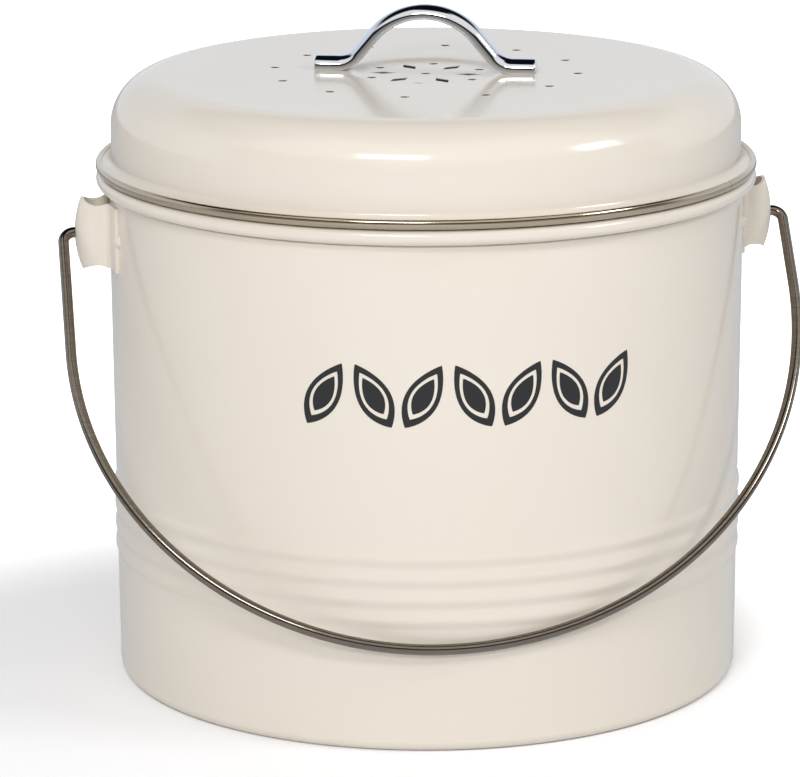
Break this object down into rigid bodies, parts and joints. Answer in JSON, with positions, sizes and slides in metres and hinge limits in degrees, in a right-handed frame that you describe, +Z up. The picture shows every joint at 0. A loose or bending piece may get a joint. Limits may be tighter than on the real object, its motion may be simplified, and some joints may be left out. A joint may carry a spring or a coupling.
{
  "type": "compost caddy",
  "caption": "Round steel kitchen compost caddy with a vented lift-off lid, a lift-out inner bucket, a charcoal filter and a swinging wire carrying handle.",
  "frame": {"origin": "on the floor, on the axis of the round body, under the middle of the bounding box", "axes": "+Z up; +X through the right ear, along the pivots of the carrying handle; -Y towards the front"},
  "size_m": [0.2334, 0.2082, 0.2132],
  "materials": {
    "body_coating": "satin cream powder coating on steel",
    "lid_coating": "glossy cream powder coating on steel",
    "handle_wire": "dark polished nickel-plated wire",
    "rim_steel": "polished stainless steel",
    "handle_chrome": "bright chrome plating",
    "screw_steel": "zinc-plated steel",
    "collar_steel": "bare stainless steel",
    "bucket_plastic": "moulded polypropylene",
    "filter_plastic": "moulded black plastic",
    "filter_felt": "carbon-filled felt"
  },
  "bodies": {
    "caddy": {"wall_shell": "body_coating", "base_pan": "body_coating", "left_ear": "body_coating", "right_ear": "body_coating"},
    "bail": {"bail_wire": "handle_wire"},
    "bucket": {"inner_bucket": "bucket_plastic"},
    "lid": {"lid_shell": "lid_coating", "rim_ring": "rim_steel", "lid_handle": "handle_chrome", "handle_screws": "screw_steel", "screw_washers": "screw_steel", "lid_collar": "collar_steel", "filter_holder": "filter_plastic"},
    "filter": {"filter_cover": "filter_plastic", "charcoal_filter": "filter_felt"}
  },
  "joints": [
    {"name": "bail_swing", "type": "hinge", "parent": "caddy", "child": "bail", "pos_m": [0, 0, 0.1438], "axis": [-1, 0, 0], "range_deg": [0, 274]},
    {"name": "bucket_lift", "type": "slide", "parent": "caddy", "child": "bucket", "axis": [0, 0, 1], "range_m": [0, 0.18]},
    {"name": "lid_lift", "type": "slide", "parent": "bucket", "child": "lid", "axis": [0, 0, 1], "range_m": [0, 0.06]},
    {"name": "filter_drop", "type": "slide", "parent": "lid", "child": "filter", "axis": [0, 0, -1], "range_m": [0, 0.02]}
  ]
}
